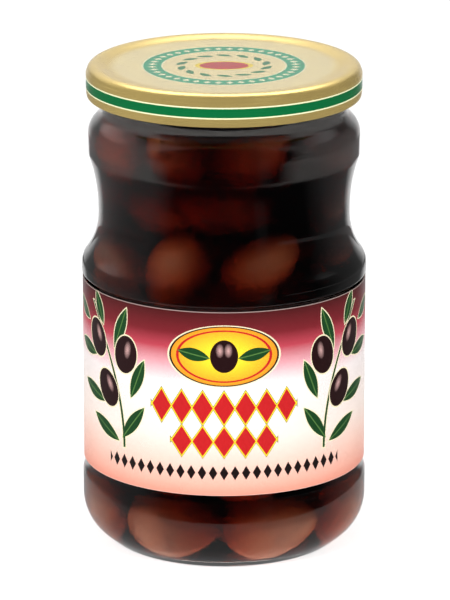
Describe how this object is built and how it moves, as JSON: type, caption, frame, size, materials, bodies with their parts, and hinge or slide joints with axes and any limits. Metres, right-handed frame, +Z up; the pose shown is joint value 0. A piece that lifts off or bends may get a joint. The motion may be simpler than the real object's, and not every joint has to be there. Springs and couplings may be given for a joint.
{
  "type": "jar of olives",
  "caption": "Shut round glass grocery jar with a pinched waist, filled with whole dark olives, with a wrap-round paper label and a gold twist-off metal lid.",
  "frame": {"origin": "middle of the jar's base, in the plane that it stands on", "axes": "+Z up along the jar's axis to the lid, -Y to the label's front, +Y to the seam of the label at the back"},
  "size_m": [0.0888, 0.0888, 0.1523],
  "materials": {
    "clear_glass": "clear flint glass, smooth",
    "gold_lacquer": "gold lacquered tinplate, satin gloss, with a printed green band",
    "label_paper": "coated printed paper, slight sheen",
    "olive_skin": "smooth wet olive skin, dark brown to purple black"
  },
  "bodies": {
    "root": {"glass_jar": "clear_glass", "lid": "gold_lacquer", "label": "label_paper", "olives": "olive_skin"}
  },
  "joints": []
}
